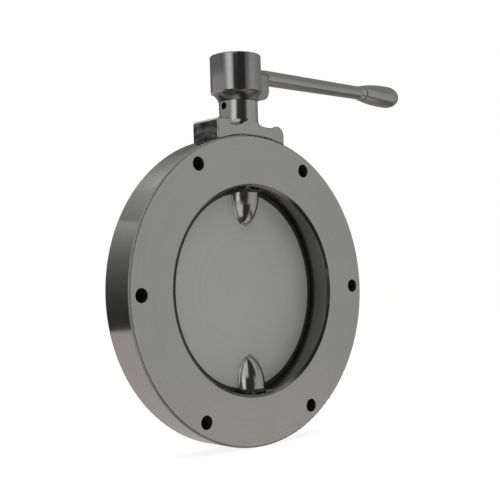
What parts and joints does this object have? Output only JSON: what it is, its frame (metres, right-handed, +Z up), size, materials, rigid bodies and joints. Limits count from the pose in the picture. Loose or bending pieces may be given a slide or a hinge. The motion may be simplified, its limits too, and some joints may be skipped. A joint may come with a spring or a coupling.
{
  "type": "butterfly valve",
  "caption": "Quarter-turn butterfly valve: flat drilled flange ring, rubber-edged disc on a stem with bullet-shaped bosses, saddle bonnet and a straight lever with a pear-shaped grip.",
  "frame": {"origin": "centre of the bore, halfway between the two flange faces, on the stem axis", "axes": "+Z up the stem towards the lever hub, Y along the pipe with -Y out of the front face, +X the side the lever lies on when the valve is nearly closed"},
  "size_m": [0.3207, 0.0469, 0.2869],
  "materials": {
    "polished_stainless": "polished",
    "turned_stainless": "fine turned",
    "white_ptfe": "matte",
    "black_rubber": "matte"
  },
  "bodies": {
    "body": {"valve_body": "polished_stainless", "bonnet": "polished_stainless", "bonnet_screws": "turned_stainless", "upper_body_bush": "white_ptfe", "lower_body_bush": "white_ptfe", "neck_bush": "white_ptfe", "neck_wiper_seal": "black_rubber", "thrust_washers": "white_ptfe", "lower_plug": "turned_stainless", "plug_gasket": "white_ptfe"},
    "disc_and_lever": {"disc": "polished_stainless", "disc_seal": "black_rubber", "disc_pins": "turned_stainless", "upper_stem": "turned_stainless", "lower_stem": "turned_stainless", "upper_stem_o_rings": "black_rubber", "lower_stem_o_ring": "black_rubber", "stem_circlip": "turned_stainless", "lever_hub": "polished_stainless", "hub_key": "turned_stainless", "hub_grub_screw": "turned_stainless", "hub_washer": "turned_stainless", "hub_screw": "turned_stainless", "stop_pin": "turned_stainless", "lever_rod": "polished_stainless", "grip_ferrule": "polished_stainless", "lever_grip": "polished_stainless"}
  },
  "joints": [
    {"name": "quarter_turn", "type": "hinge", "parent": "body", "child": "disc_and_lever", "pos_m": [0, 0, 0], "axis": [0, 0, 1], "range_deg": [-5.5, 84.5]}
  ]
}
